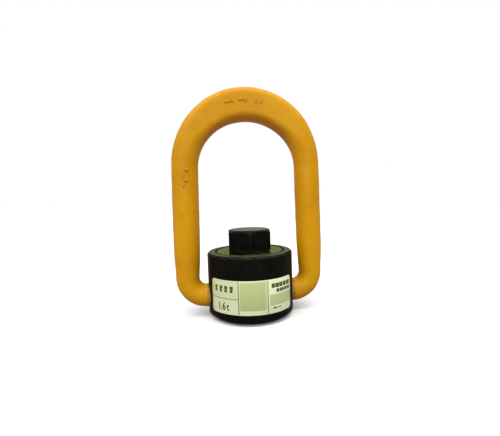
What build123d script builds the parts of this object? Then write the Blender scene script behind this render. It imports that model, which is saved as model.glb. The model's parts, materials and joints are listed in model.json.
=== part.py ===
from build123d import *
import math
import os

# Swivel hoist ring, M16, 1.6 t class.
# Frame: the origin is the centre of the load face (the plane that the bush foot clamps onto),
# +Z runs up the bolt, the link's trunnions lie along X and the label is on the -Y side.

# ---- driving dimensions, millimetres and degrees ----

# bolt
THREAD_D = 16.0
THREAD_PITCH = 2.0
THREAD_LENGTH = 24.0  # reach below the load face
THREAD_RELIEF = 1.5  # plain shank between the load face and the first full thread
THREAD_DEPTH_RATIO = 0.6134  # depth over pitch of the metric thread
THREAD_HALF_ANGLE = 30.0
TIP_CHAMFER = 1.4
HEX_FLATS = 24.0
HEX_HEIGHT = 11.7
HEX_TOP_D = 22.6  # flat circle left by the top chamfer
HEX_CHAMFER_ANGLE = 30.0
HEX_TURN = -4.5  # one corner points this far from -Y
COLLAR_D = 23.3
COLLAR_HEIGHT = 0.8  # the washer face under the hexagon
COLLAR_BREAK = 0.2
BOLT_LIFT = 3.3  # free axial travel of the loose bolt

# bolt retaining ring
KEEPER_THICKNESS = 1.2
KEEPER_WIDTH = 1.75
KEEPER_GROOVE_DEPTH = 0.7
KEEPER_GAP = 3.0
KEEPER_SEAT = 1.4  # underside of the ring above the load face
KEEPER_CLEARANCE = 0.3  # radial, in the bush's pocket

# flanged bush
SLEEVE_WALL = 4.5  # from the shank to the outside of the sleeve
FLANGE_OVERHANG = 7.0  # from the sleeve to the flange's edge
FLANGE_THICKNESS = 6.4

# axial stack above the load face
FOOT_STEP = 0.8  # the bush foot stands this far below the housing
CIRCLIP_LIFT = 0.1
CIRCLIP_THICKNESS = 1.1
CIRCLIP_GROOVE_DEPTH = 0.9
CIRCLIP_WIDTH = 3.4
CIRCLIP_GAP = 9.0
WASHER_THICKNESS = 1.0
WASHER_WIDTH = 4.5
WASHER_CLEARANCE = 0.5  # radial, in the housing's recess
TRUNNION_FLOOR = 2.0  # housing wall under the trunnion bore
TRUNNION_ROOF = 4.9  # housing wall between the trunnion bore and the bearing

# thrust bearing
BALL_D = 5.0
BALL_COUNT = 16
RACE_WEB = 1.15  # race metal behind the ball
RACE_THICKNESS = 2.1
RACE_BORE_CLEARANCE = 0.5  # radial, between the lower race and the sleeve
CAGE_THICKNESS = 1.8
CAGE_MARGIN = 0.7  # cage metal beyond the balls, to either side

# housing
SEAL_GAP = 1.1  # radial gap between the bush flange and the rim
RIM_WALL = 4.4
SEAL_HEIGHT = 3.4
SEAL_DROP = 0.55  # top of the seal below the rim
RIM_CHAMFER = 1.1
BASE_CHAMFER_WIDTH = 2.4
BASE_CHAMFER_HEIGHT = 2.0

# link
TRUNNION_D = 13.5
TRUNNION_END_GAP = 0.9  # between the trunnion's end and the bush sleeve
TRUNNION_SHOW = 1.05  # straight trunnion outside the housing
CORNER_FILLET = 4.0  # inside radius between trunnion and leg
LEG_D = 15.0
LEG_SWELL_LENGTH = 18.0  # the bar grows from trunnion to leg thickness over this length
LEG_CLOSING = 1.0  # each leg leans in by this much from its corner to the crown
CROWN_START = 74.5  # height of the crown's centre above the trunnion axis
CROWN_THICKENING = 4.2  # extra bar depth at the top of the crown
CROWN_WIDENING = 1.0  # extra bar width at the top of the crown
CROWN_STEP_ANGLE = 15.0

# label
LABEL_THICKNESS = 0.2
LABEL_HEIGHT = 18.4
LABEL_LIFT = 5.65  # above the housing's underside
LABEL_HALF_ANGLE = 59.5
LABEL_TURN = -5.0  # the label's middle lies this far round from -Y
LABEL_CORNER_R = 2.0

# clearances
RUNNING_FIT = 0.05  # radial, between pieces that turn on each other
SLIP_FIT = 0.03  # radial, between pieces that are only slipped together
AXIAL_PLAY = 0.05
EDGE_BREAK = 0.4

# ---- sizes worked out from the driving dimensions ----

SHANK_R = THREAD_D / 2
BUSH_BORE_R = SHANK_R + RUNNING_FIT
SLEEVE_R = SHANK_R + SLEEVE_WALL
FLANGE_R = SLEEVE_R + FLANGE_OVERHANG
COUNTERBORE_R = FLANGE_R + SEAL_GAP
HOUSING_R = COUNTERBORE_R + RIM_WALL
HOUSING_BORE_R = SLEEVE_R + RUNNING_FIT
BALL_R = BALL_D / 2
GROOVE_R = BALL_R + RUNNING_FIT
BALL_CIRCLE_R = (SLEEVE_R + COUNTERBORE_R) / 2
TRUNNION_R = TRUNNION_D / 2
TRUNNION_BORE_R = TRUNNION_R + RUNNING_FIT
LEG_R = LEG_D / 2

HOUSING_BASE_Z = FOOT_STEP
CIRCLIP_Z = HOUSING_BASE_Z + CIRCLIP_LIFT
WASHER_Z = CIRCLIP_Z + CIRCLIP_THICKNESS
RECESS_Z = WASHER_Z + WASHER_THICKNESS + AXIAL_PLAY
TRUNNION_Z = RECESS_Z + TRUNNION_FLOOR + TRUNNION_BORE_R
RACE_SEAT_Z = TRUNNION_Z + TRUNNION_BORE_R + TRUNNION_ROOF
BALL_Z = RACE_SEAT_Z + RACE_WEB + GROOVE_R
FLANGE_Z = BALL_Z + GROOVE_R + RACE_WEB
RIM_Z = FLANGE_Z + FLANGE_THICKNESS
HEX_Z = RIM_Z + COLLAR_HEIGHT

WASHER_R = SLEEVE_R + WASHER_WIDTH
RECESS_R = WASHER_R + WASHER_CLEARANCE
CIRCLIP_GROOVE_R = SLEEVE_R - CIRCLIP_GROOVE_DEPTH
KEEPER_GROOVE_R = SHANK_R - KEEPER_GROOVE_DEPTH
KEEPER_INNER_R = KEEPER_GROOVE_R + RUNNING_FIT
KEEPER_OUTER_R = KEEPER_INNER_R + KEEPER_WIDTH
KEEPER_POCKET_R = KEEPER_OUTER_R + KEEPER_CLEARANCE
KEEPER_POCKET_Z = KEEPER_SEAT + KEEPER_THICKNESS + BOLT_LIFT + 2 * AXIAL_PLAY

CORNER_R = TRUNNION_R + CORNER_FILLET  # centreline radius of the bend
CORNER_X = HOUSING_R + TRUNNION_SHOW
LEG_X = CORNER_X + CORNER_R
CROWN_R = LEG_X - LEG_CLOSING
CROWN_Z = TRUNNION_Z + CROWN_START


# ---- helpers ----


def turned(points):
    """A solid of revolution about Z from (radius, height) points."""
    with BuildPart() as part:
        with BuildSketch(Plane.XZ):
            with BuildLine():
                Polyline(*points, close=True)
            make_face()
        revolve(axis=Axis.Z)
    return part.part


def plain_ring(inner_r, outer_r, low_z, high_z):
    """A flat ring about Z between two heights."""
    return turned([(inner_r, low_z), (outer_r, low_z), (outer_r, high_z), (inner_r, high_z)])


def split_ring(inner_r, outer_r, low_z, thickness, gap, turn):
    """A snap ring: a flat ring with a gap cut at one side."""
    ring = plain_ring(inner_r, outer_r, low_z, low_z + thickness)
    slot = Pos(outer_r / 2 + inner_r / 2, 0, low_z + thickness / 2) * Box(
        2 * (outer_r - inner_r), gap, 2 * thickness
    )
    return ring - Rot(0, 0, turn) * slot


# ---- bolt ----


def thread_groove():
    """The helical V of the metric thread, from below the tip to the relief under the load face."""
    depth = THREAD_DEPTH_RATIO * THREAD_PITCH
    proud = 0.3  # the cutter runs this far outside the shank
    root_half = THREAD_PITCH / 8
    mouth_half = root_half + (depth + proud) * math.tan(math.radians(THREAD_HALF_ANGLE))
    turns_height = THREAD_LENGTH - THREAD_RELIEF + THREAD_PITCH
    start = Pos(0, 0, -THREAD_LENGTH - THREAD_PITCH)
    path = start * Helix(THREAD_PITCH, turns_height, SHANK_R)
    face = Plane(origin=path @ 0, x_dir=(1, 0, 0), z_dir=path % 0) * make_face(
        Polyline(
            (proud, -mouth_half), (proud, mouth_half), (-depth, root_half), (-depth, -root_half), close=True
        )
    )
    return sweep(face, path=path, is_frenet=True)


def hex_bolt():
    """The bolt: hex head on a round collar, plain shank with the ring's groove, threaded end."""
    hex_corner_r = HEX_FLATS / math.sqrt(3)
    hex_top_r = HEX_TOP_D / 2
    chamfer_drop = (hex_corner_r - hex_top_r) * math.tan(math.radians(HEX_CHAMFER_ANGLE))
    top_z = HEX_Z + HEX_HEIGHT
    head_envelope = turned(
        [(0, HEX_Z), (hex_corner_r, HEX_Z), (hex_corner_r, top_z - chamfer_drop), (hex_top_r, top_z), (0, top_z)]
    )
    prism = Pos(0, 0, HEX_Z) * extrude(RegularPolygon(hex_corner_r, 6), HEX_HEIGHT)
    head = (Rot(0, 0, HEX_TURN - 90) * prism) & head_envelope
    collar_r = COLLAR_D / 2
    groove_low = KEEPER_SEAT - AXIAL_PLAY
    groove_high = KEEPER_SEAT + KEEPER_THICKNESS + AXIAL_PLAY
    shank = turned(
        [
            (0, -THREAD_LENGTH),
            (SHANK_R - TIP_CHAMFER, -THREAD_LENGTH),
            (SHANK_R, -THREAD_LENGTH + TIP_CHAMFER),
            (SHANK_R, groove_low),
            (KEEPER_GROOVE_R, groove_low),
            (KEEPER_GROOVE_R, groove_high),
            (SHANK_R, groove_high),
            (SHANK_R, RIM_Z),
            (collar_r - COLLAR_BREAK, RIM_Z),
            (collar_r, RIM_Z + COLLAR_BREAK),
            (collar_r, HEX_Z - COLLAR_BREAK),
            (collar_r - COLLAR_BREAK, HEX_Z),
            (0, HEX_Z),
        ]
    )
    return (shank - thread_groove()) + head


def bolt_retaining_ring():
    """The snap ring in the shank groove that keeps the bolt in the bush."""
    return split_ring(KEEPER_INNER_R, KEEPER_OUTER_R, KEEPER_SEAT, KEEPER_THICKNESS, KEEPER_GAP, 90)


# ---- bush and what is fixed to it ----


def flanged_bush():
    """The clamped bush: sleeve down to the load face, wide flange on top, pocket for the bolt's ring."""
    return turned(
        [
            (KEEPER_POCKET_R, 0),
            (SLEEVE_R - EDGE_BREAK, 0),
            (SLEEVE_R, EDGE_BREAK),
            (SLEEVE_R, CIRCLIP_Z),
            (CIRCLIP_GROOVE_R, CIRCLIP_Z),
            (CIRCLIP_GROOVE_R, CIRCLIP_Z + CIRCLIP_THICKNESS),
            (SLEEVE_R, CIRCLIP_Z + CIRCLIP_THICKNESS),
            (SLEEVE_R, FLANGE_Z),
            (FLANGE_R, FLANGE_Z),
            (FLANGE_R, RIM_Z - EDGE_BREAK),
            (FLANGE_R - EDGE_BREAK, RIM_Z),
            (BUSH_BORE_R, RIM_Z),
            (BUSH_BORE_R, KEEPER_POCKET_Z),
            (KEEPER_POCKET_R, KEEPER_POCKET_Z),
        ]
    )


def raceway():
    """The ring-shaped space that the balls roll in, cut from both races."""
    return Pos(0, 0, BALL_Z) * Torus(BALL_CIRCLE_R, GROOVE_R)


def upper_race():
    """The race under the bush flange."""
    return plain_ring(SLEEVE_R + SLIP_FIT, FLANGE_R, FLANGE_Z - RACE_THICKNESS, FLANGE_Z) - raceway()


def base_washer():
    """The thrust washer between the housing's recess and the circlip."""
    return plain_ring(SLEEVE_R + SLIP_FIT, WASHER_R, WASHER_Z, WASHER_Z + WASHER_THICKNESS)


def retaining_circlip():
    """The circlip in the sleeve's groove that holds the housing on the bush."""
    inner_r = CIRCLIP_GROOVE_R + SLIP_FIT
    return split_ring(inner_r, inner_r + CIRCLIP_WIDTH, CIRCLIP_Z, CIRCLIP_THICKNESS, CIRCLIP_GAP, -90)


# ---- bearing ----


def lower_race():
    """The race on the housing's seat."""
    outer_r = COUNTERBORE_R - SLIP_FIT
    inner_r = SLEEVE_R + RACE_BORE_CLEARANCE
    return plain_ring(inner_r, outer_r, RACE_SEAT_Z, RACE_SEAT_Z + RACE_THICKNESS) - raceway()


def ball_places():
    """The ball centres, evenly spaced on the ball circle."""
    return [
        Rot(0, 0, 360 * index / BALL_COUNT) * Pos(BALL_CIRCLE_R, 0, BALL_Z) for index in range(BALL_COUNT)
    ]


def ball_cage():
    """The flat cage that spaces the balls."""
    half_width = BALL_R + CAGE_MARGIN
    half_height = CAGE_THICKNESS / 2
    cage = plain_ring(
        BALL_CIRCLE_R - half_width, BALL_CIRCLE_R + half_width, BALL_Z - half_height, BALL_Z + half_height
    )
    for place in ball_places():
        cage -= place * Cylinder(BALL_R + RUNNING_FIT, 2 * CAGE_THICKNESS)
    return cage


# ---- housing and what is fixed to it ----


def swivel_housing():
    """The round body that turns about the bush and carries the link's trunnions."""
    body = turned(
        [
            (RECESS_R, HOUSING_BASE_Z),
            (HOUSING_R - BASE_CHAMFER_WIDTH, HOUSING_BASE_Z),
            (HOUSING_R, HOUSING_BASE_Z + BASE_CHAMFER_HEIGHT),
            (HOUSING_R, RIM_Z - RIM_CHAMFER),
            (HOUSING_R - RIM_CHAMFER, RIM_Z),
            (COUNTERBORE_R + EDGE_BREAK, RIM_Z),
            (COUNTERBORE_R, RIM_Z - EDGE_BREAK),
            (COUNTERBORE_R, RACE_SEAT_Z),
            (HOUSING_BORE_R, RACE_SEAT_Z),
            (HOUSING_BORE_R, RECESS_Z),
            (RECESS_R, RECESS_Z),
        ]
    )
    cross_bore = Pos(0, 0, TRUNNION_Z) * Rot(0, 90, 0) * Cylinder(TRUNNION_BORE_R, 4 * HOUSING_R)
    return body - cross_bore


def dust_seal():
    """The rubber ring that closes the gap between the rim and the bush flange."""
    inner_r = FLANGE_R + RUNNING_FIT
    top_z = RIM_Z - SEAL_DROP
    low_z = top_z - SEAL_HEIGHT
    lip = (COUNTERBORE_R - inner_r) / 2
    return turned(
        [
            (inner_r, low_z),
            (COUNTERBORE_R, low_z),
            (COUNTERBORE_R, top_z),
            (inner_r + lip, top_z),
            (inner_r, top_z - lip),
        ]
    )


def rating_label():
    """The thin label wrapped around the front of the housing."""
    middle_z = HOUSING_BASE_Z + LABEL_LIFT + LABEL_HEIGHT / 2
    with BuildPart() as part:
        with BuildSketch(Plane.XZ):
            with Locations((HOUSING_R + LABEL_THICKNESS / 2, middle_z)):
                Rectangle(LABEL_THICKNESS, LABEL_HEIGHT)
        revolve(axis=Axis.Z, revolution_arc=2 * LABEL_HALF_ANGLE)
    shell = part.part
    middle = Vector(*shell.center())
    to_front = LABEL_TURN - 90 - math.degrees(math.atan2(middle.Y, middle.X))
    corners = [edge for edge in shell.edges() if abs(edge.length - LABEL_THICKNESS) < LABEL_THICKNESS / 10]
    return Rot(0, 0, to_front) * fillet(corners, LABEL_CORNER_R)


# ---- link ----


def link_section(x, z, tangent_angle, half_depth, half_width):
    """One elliptical section of the bar, facing along the path, which runs in the XZ plane."""
    tangent = (math.cos(tangent_angle), 0, math.sin(tangent_angle))
    outward = (math.sin(tangent_angle), 0, -math.cos(tangent_angle))
    return Plane(origin=(x, 0, z), x_dir=outward, z_dir=tangent) * Ellipse(half_depth, half_width)


def leg_lean():
    """The angle in radians by which each leg leans in towards the crown."""
    return math.atan2(LEG_CLOSING, CROWN_START - CORNER_R)


def leg_sections():
    """The sections of the +X leg, from the end of its corner to where the crown starts."""
    lean = leg_lean()
    low_x = CORNER_X + CORNER_R * math.cos(lean)
    low_z = TRUNNION_Z + CORNER_R + CORNER_R * math.sin(lean)
    high_x = CROWN_R * math.cos(lean)
    high_z = CROWN_Z + CROWN_R * math.sin(lean)
    length = math.hypot(high_x - low_x, high_z - low_z)
    swell_end = LEG_SWELL_LENGTH / length
    sections = []
    for share in (0, 0.5, 1):
        radius = TRUNNION_R + (LEG_R - TRUNNION_R) * share**2 * (3 - 2 * share)
        sections.append((share * swell_end, radius))
    for share in (1 / 3, 2 / 3, 0.97):
        sections.append((swell_end + share * (1 - swell_end), LEG_R))
    return [
        (low_x + (high_x - low_x) * run, low_z + (high_z - low_z) * run, math.pi / 2 + lean, radius, radius)
        for run, radius in sections
    ]


def crown_sections():
    """The sections over the crown, from the +X side to the -X side."""
    step_count = round(180 / CROWN_STEP_ANGLE)
    sections = []
    for index in range(1, step_count):
        angle = math.pi * index / step_count
        swell = math.sin(angle) ** 1.5
        sections.append(
            (
                CROWN_R * math.cos(angle),
                CROWN_Z + CROWN_R * math.sin(angle),
                angle + math.pi / 2,
                LEG_R + CROWN_THICKENING / 2 * swell,
                LEG_R + CROWN_WIDENING / 2 * swell,
            )
        )
    return sections


def load_link():
    """The forged bow: two trunnions, two bent corners, two legs and the thickened crown."""
    rising = leg_sections()
    falling = [(-x, z, 2 * math.pi - turn, depth, width) for x, z, turn, depth, width in reversed(rising)]
    bar = loft([link_section(*section) for section in rising + crown_sections() + falling])
    trunnion_end = SLEEVE_R + TRUNNION_END_GAP
    start = Plane(origin=(CORNER_X, 0, TRUNNION_Z), z_dir=(1, 0, 0)) * Circle(TRUNNION_R)
    pivot = Axis((CORNER_X, 0, TRUNNION_Z + CORNER_R), (0, -1, 0))
    corner = revolve(start, axis=pivot, revolution_arc=90 + math.degrees(leg_lean()))
    trunnion = Pos(trunnion_end, 0, TRUNNION_Z) * Rot(0, 90, 0) * Cylinder(
        TRUNNION_R, CORNER_X - trunnion_end, align=(Align.CENTER, Align.CENTER, Align.MIN)
    )
    trunnion = chamfer(trunnion.edges().sort_by(Axis.X)[0], EDGE_BREAK)
    end = trunnion + corner
    return bar + end + mirror(end, Plane.YZ)


# ---- build ----


def all_nodes():
    """Every piece of the hoist ring by its node name."""
    nodes = {
        "hex_bolt": hex_bolt(),
        "bolt_retaining_ring": bolt_retaining_ring(),
        "flanged_bush": flanged_bush(),
        "upper_race": upper_race(),
        "lower_race": lower_race(),
        "ball_cage": ball_cage(),
        "base_washer": base_washer(),
        "retaining_circlip": retaining_circlip(),
        "swivel_housing": swivel_housing(),
        "dust_seal": dust_seal(),
        "rating_label": rating_label(),
        "load_link": load_link(),
    }
    for number, place in enumerate(ball_places(), start=1):
        nodes[f"bearing_ball_{number:02d}"] = place * Sphere(BALL_R)
    return nodes


os.makedirs("parts", exist_ok=True)
for name, shape in all_nodes().items():
    export_step(shape, f"parts/{name}.step")
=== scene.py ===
import json
import math

import bpy
from bpy.props import FloatProperty, FloatVectorProperty, PointerProperty, StringProperty
from mathutils import Matrix, Vector


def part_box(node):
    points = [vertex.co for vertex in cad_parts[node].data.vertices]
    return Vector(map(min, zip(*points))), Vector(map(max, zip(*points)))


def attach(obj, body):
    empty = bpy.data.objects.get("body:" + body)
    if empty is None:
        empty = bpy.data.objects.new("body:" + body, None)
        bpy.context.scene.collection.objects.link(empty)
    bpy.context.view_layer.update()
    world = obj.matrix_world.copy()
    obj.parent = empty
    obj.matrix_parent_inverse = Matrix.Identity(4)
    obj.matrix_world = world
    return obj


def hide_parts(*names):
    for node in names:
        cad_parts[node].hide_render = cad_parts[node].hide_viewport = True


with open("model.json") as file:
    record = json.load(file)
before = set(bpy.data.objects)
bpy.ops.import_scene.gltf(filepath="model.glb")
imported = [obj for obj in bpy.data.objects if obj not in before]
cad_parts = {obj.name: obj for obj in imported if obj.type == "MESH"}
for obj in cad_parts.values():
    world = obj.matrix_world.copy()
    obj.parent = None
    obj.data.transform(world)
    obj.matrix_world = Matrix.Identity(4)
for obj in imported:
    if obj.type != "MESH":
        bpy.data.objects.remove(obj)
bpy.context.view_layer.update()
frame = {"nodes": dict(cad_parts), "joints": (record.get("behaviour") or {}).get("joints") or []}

bl_info = {
    "name": "Swivel hoist ring",
    "version": (1, 0, 0),
    "blender": (4, 5, 0),
    "location": "View3D > Sidebar > Hoist ring",
    "description": "Builds the finished look of a swivel hoist ring around its packed frame",
    "category": "Object",
}

MM = 0.001

# ---- places read from the frame ----

HOUSING_LOW, HOUSING_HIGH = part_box("swivel_housing")
WASHER_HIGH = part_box("base_washer")[1]
BUSH_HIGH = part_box("flanged_bush")[1]
RACE_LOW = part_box("lower_race")[0]
LINK_LOW, LINK_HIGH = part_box("load_link")
BOLT_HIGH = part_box("hex_bolt")[1]
LABEL_LOW, LABEL_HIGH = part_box("rating_label")
PIVOT_Z = next(joint["pos_m"][2] for joint in frame["joints"] if joint["name"] == "link_pivot")
HOUSING_R = HOUSING_HIGH.x
RIM_Z = HOUSING_HIGH.z
FLANGE_R = BUSH_HIGH.x
BALLS = sorted(name for name in frame["nodes"] if name.startswith("bearing_ball"))

# ---- fixed sizes ----

RUNNING_FIT = 0.05 * MM  # round the trunnions, and above the base washer
WASHER_CLEARANCE = 0.5 * MM  # round the base washer
HOUSING_SEGMENTS = 160
DRILL_SIDES = 96
BAR_SIDES = 28
TRUNNION_STEPS, CORNER_STEPS, LEG_STEPS, CROWN_STEPS = 4, 8, 18, 16
LABEL_STRIPS = 60
FILM_THICKNESS = 0.16 * MM
FILM_LIFT = 0.01 * MM  # keeps the film's back off the housing
INK_THICKNESS = 0.025 * MM
INK_SINK = 0.005 * MM  # how far the ink's back lies in the film
RULE_WIDTH = 0.55 * MM
FIELD_GAP = 1.25 * MM
PRINT_SOFTNESS = 0.10 * MM

# The rating: degrees round and millimetres up to its foot, then its height and how it is drawn.
RATING_TURN, RATING_FOOT = math.radians(-53), 2.2 * MM
RATING_HEIGHT = 5.7 * MM
RATING_BOLDER = 0.135 * MM
RATING_NARROWING = 0.80
RATING_WORD_GAP = 0.55

# Printed blocks: where each starts and ends, in degrees round from the front.
WORD_MIDDLES = (-55.3, -46.8, -39.2, -31.4)
UPPER_BARS = ((19.5, 24.4), (25.0, 30.8), (31.4, 36.6), (37.6, 43.5), (44.5, 51.5))
LOWER_BARS = ((26.5, 31.2), (32.0, 38.2), (39.0, 44.2), (45.2, 51.5))

# Raised marks on the crown: degrees round it, width and height in millimetres.
CROWN_MARKS = (
    (106, 3.6, 1.2),
    (102, 1.2, 2.6),
    (94.5, 3.0, 1.6),
    (90.5, 1.3, 2.8),
    (81, 1.1, 3.2),
    (77, 1.1, 3.2),
)

# Raised marks on a leg: share of the way up it, then millimetres across, width and height.
LEG_MARKS = (
    (0.97, 1.2, 2.6, 1.3),
    (0.925, -0.6, 1.1, 2.6),
    (0.88, 0.8, 2.4, 1.2),
    (0.84, -0.4, 1.1, 2.4),
)


# ---- sizes and colours that a user would change ----


def number(name, value, description, **kind):
    """A plain number, or one with a unit or subtype."""
    return FloatProperty(name=name, description=description, default=value, **kind)


def length(name, millimetres, description):
    """A length, written in millimetres and kept in metres."""
    return number(name, millimetres * MM, description, unit="LENGTH", precision=5)


def angle(name, degrees, description):
    """An angle, written in degrees and kept in radians."""
    return number(name, math.radians(degrees), description, subtype="ANGLE")


def spot(name, millimetres, description):
    """A place, written in millimetres and kept in metres."""
    return FloatVectorProperty(
        name=name,
        description=description,
        default=[value * MM for value in millimetres],
        subtype="TRANSLATION",
        unit="LENGTH",
        size=3,
    )


def colour(name, rgb, description):
    """A colour in linear light."""
    return FloatVectorProperty(
        name=name, description=description, default=rgb, subtype="COLOR", size=3, min=0, max=1
    )


class LinkSettings(bpy.types.PropertyGroup):
    """Sizes and paint of the forged link."""

    bar: length("Bar", 15.0, "Thickness of the legs")
    inner_fillet: length("Corner fillet", 4.0, "Inside radius between trunnion and leg")
    trunnion_show: length("Trunnion show", 1.05, "Straight trunnion outside the housing")
    trunnion_inside: length("Trunnion end", 13.4, "Distance of each trunnion's end from the axis")
    leg_closing: length("Leg closing", 1.0, "How far each leg leans in up to the crown")
    crown_start: length("Crown start", 74.5, "Height of the crown's centre above the pivot")
    crown_thickening: length("Crown thickening", 4.2, "Extra depth of the bar at the top")
    crown_widening: length("Crown widening", 1.0, "Extra width of the bar at the top")
    swell_length: length("Swell length", 18.0, "Length over which the bar grows above its corner")
    pad_flat: length("Pad", 6.95, "Distance of the crown's flat pads from the link's middle plane")
    squareness: number("Squareness", 0.75, "How square the bar's section is at the top")
    flash_height: length("Flash line", 0.22, "Height of the trimmed forging line")
    ripple: length("Ripple", 0.34, "Depth of the uneven forged skin")
    paint: colour("Paint", (0.595, 0.285, 0.0028), "Main colour of the paint")
    paint_deep: colour("Deep paint", (0.48, 0.20, 0.0028), "Colour where the paint lies thick")
    under_bow_shade: colour("Inner paint", (0.46, 0.155, 0.008), "Colour under the bow, where it ran")
    # Painted shade: this colour stands for the shade under the bow and on the legs' inner faces; it is
    # not a paint of its own.
    steel: colour("Bare steel", (0.16, 0.13, 0.10), "Steel where the paint is gone")


class HousingSettings(bpy.types.PropertyGroup):
    """Sizes and finish of the swivel housing."""

    bore: length("Bore", 25.1, "Diameter of the bore round the bush")
    rim_wall: length("Rim wall", 4.4, "Thickness of the rim")
    rim_chamfer: length("Rim chamfer", 1.1, "Outer chamfer of the rim")
    base_chamfer: length("Base chamfer", 2.4, "Width of the chamfer at the foot")
    base_chamfer_height: length("Base chamfer height", 2.0, "Height of the chamfer at the foot")
    edge: length("Edge", 0.28, "Rounding of the edges")
    black: colour("Black", (0.0012, 0.0018, 0.0011), "Blackened steel")
    machined: colour("Machined", (0.095, 0.10, 0.033), "Turned faces that show through")


class BoltSettings(bpy.types.PropertyGroup):
    """Finish of the bolt and the other metal pieces."""

    black: colour("Black oxide", (0.0012, 0.0015, 0.0011), "Bolt")
    worn: colour("Worn steel", (0.165, 0.175, 0.098), "Edges and top of the head")
    passivate: colour("Passivate", (0.37, 0.40, 0.12), "Olive passivated zinc of the bush")
    race: colour("Bearing steel", (0.56, 0.56, 0.57), "Balls and races")
    brass: colour("Brass", (0.55, 0.36, 0.12), "Ball cage")
    spring: colour("Spring steel", (0.07, 0.07, 0.075), "Circlip and retaining ring")
    rubber: colour("Rubber", (0.010, 0.010, 0.009), "Dust seal")


class LabelSettings(bpy.types.PropertyGroup):
    """Layout and colours of the rating label."""

    start: angle("Left edge", -64.5, "Left end of the label, round from the front")
    end: angle("Right edge", 54.5, "Right end of the label, round from the front")
    first_rule: angle("First rule", -22.1, "Upright rule after the rating")
    second_rule: angle("Second rule", 14.3, "Upright rule before the last field")
    cross_rule: length("Cross rule", 8.45, "Height of the level rule above the label's foot")
    corner: length("Corner", 2.0, "Rounding of the corners")
    rating: StringProperty(name="Rating", description="Working load limit", default="1.6 t")
    film: colour("Film", (0.545, 0.615, 0.345), "Film of the field with the rating")
    field: colour("Field", (0.43, 0.50, 0.215), "Filled fields")
    frame_tone: colour("Border", (0.75, 0.80, 0.53), "Pale film round the other fields")
    ink: colour("Ink", (0.028, 0.045, 0.012), "Printing ink")
    ink_green: colour("Green ink", (0.045, 0.085, 0.018), "Ink of the last field")


class StageSettings(bpy.types.PropertyGroup):
    """Floor, lamps and camera."""

    floor: colour("Floor", (0.95, 0.95, 0.95), "Colour of the floor")
    floor_bounce: colour("Floor bounce", (0.36, 0.34, 0.31), "Light that the floor throws back up")
    top_light: number("Top light", 1.1, "Strength of the light from above")
    side_light: number("Side light", 0.36, "Strength of the light from the sides")
    strip: number("Strip", 1.9, "Power of the long lamp above, in watts")
    strip_long: length("Strip length", 1150.0, "Length of the lamp above")
    strip_wide: length("Strip width", 36.0, "Width of the lamp above")
    strip_place: spot("Strip place", (-110, -120, 450), "Where the middle of the lamp above hangs")
    fill: number("Fill", 1.32, "Strength of the lamp in front")
    fill_turn: angle("Fill turn", -14, "Where the lamp in front stands, round from the front")
    fill_height: angle("Fill height", 30, "How high the lamp in front stands")
    fill_width: angle("Fill width", 75, "Width of the front lamp's disc")
    lens: number("Lens", 23.04, "Focal length in millimetres")
    camera_place: spot("Camera place", (-23.0, -188.0, 68.8), "Where the camera stands")
    yaw: angle("Yaw", 7.26, "How far the camera looks to the right")
    pitch: angle("Pitch", 3.77, "How far the camera looks down")
    roll: angle("Roll", -1.83, "How far the camera leans")


SETTINGS = {
    "hoist_link": LinkSettings,
    "hoist_housing": HousingSettings,
    "hoist_bolt": BoltSettings,
    "hoist_label": LabelSettings,
    "hoist_stage": StageSettings,
}


# ---- modelling by hand, in small steps ----


def nothing_selected():
    """Leaves edit mode and deselects every object."""
    if bpy.context.object and bpy.context.object.mode != "OBJECT":
        bpy.ops.object.mode_set(mode="OBJECT")
    bpy.ops.object.select_all(action="DESELECT")


def only(piece):
    """Makes a piece the only selected and active object."""
    nothing_selected()
    piece.select_set(True)
    bpy.context.view_layer.objects.active = piece


def named(name):
    """Names the piece just added, and moves its place into its mesh."""
    piece = bpy.context.object
    piece.name = piece.data.name = name
    bpy.ops.object.transform_apply(location=True, rotation=True, scale=True)
    return piece


def edit(piece, selected=True):
    """Enters edit mode with all or nothing of the piece selected."""
    only(piece)
    bpy.ops.object.mode_set(mode="EDIT")
    bpy.ops.mesh.select_mode(type="VERT")
    bpy.ops.mesh.select_all(action="SELECT" if selected else "DESELECT")


def applied(piece, kind, **values):
    """Adds a modifier with these values and applies it."""
    only(piece)
    modifier = piece.modifiers.new(kind.lower(), kind)
    for key, value in values.items():
        setattr(modifier, key, value)
    bpy.ops.object.modifier_apply(modifier=modifier.name)


def bevelled(piece, width, segments, degrees):
    """Breaks every edge sharper than the angle."""
    limit = math.radians(degrees)
    applied(piece, "BEVEL", width=width, segments=segments, limit_method="ANGLE", angle_limit=limit)


def cleaned(piece):
    """Merges doubles and turns every face outwards."""
    edit(piece)
    bpy.ops.mesh.remove_doubles(threshold=0.001 * MM)
    bpy.ops.mesh.normals_make_consistent(inside=False)
    bpy.ops.object.mode_set(mode="OBJECT")


def smoothed(piece, degrees=32):
    """Shades a piece smooth, except over edges sharper than the angle."""
    only(piece)
    bpy.ops.object.shade_smooth_by_angle(angle=math.radians(degrees), keep_sharp_edges=False)


def turned(name, profile, segments):
    """A closed turned piece: a circle extruded along (radius, height) points, and bridged."""
    nothing_selected()
    radius, height = profile[0]
    bpy.ops.mesh.primitive_circle_add(vertices=segments, radius=radius, location=(0, 0, height))
    piece = named(name)
    edit(piece)
    for (last_r, last_z), (next_r, next_z) in zip(profile, profile[1:]):
        bpy.ops.mesh.extrude_region_move(TRANSFORM_OT_translate={"value": (0, 0, next_z - last_z)})
        scale = next_r / last_r
        bpy.ops.transform.resize(value=(scale, scale, 1), center_override=(0, 0, next_z))
    bpy.ops.mesh.select_all(action="DESELECT")
    bpy.ops.mesh.select_mode(type="EDGE")
    bpy.ops.mesh.select_non_manifold()
    bpy.ops.mesh.bridge_edge_loops()
    bpy.ops.object.mode_set(mode="OBJECT")
    cleaned(piece)
    return piece


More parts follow.
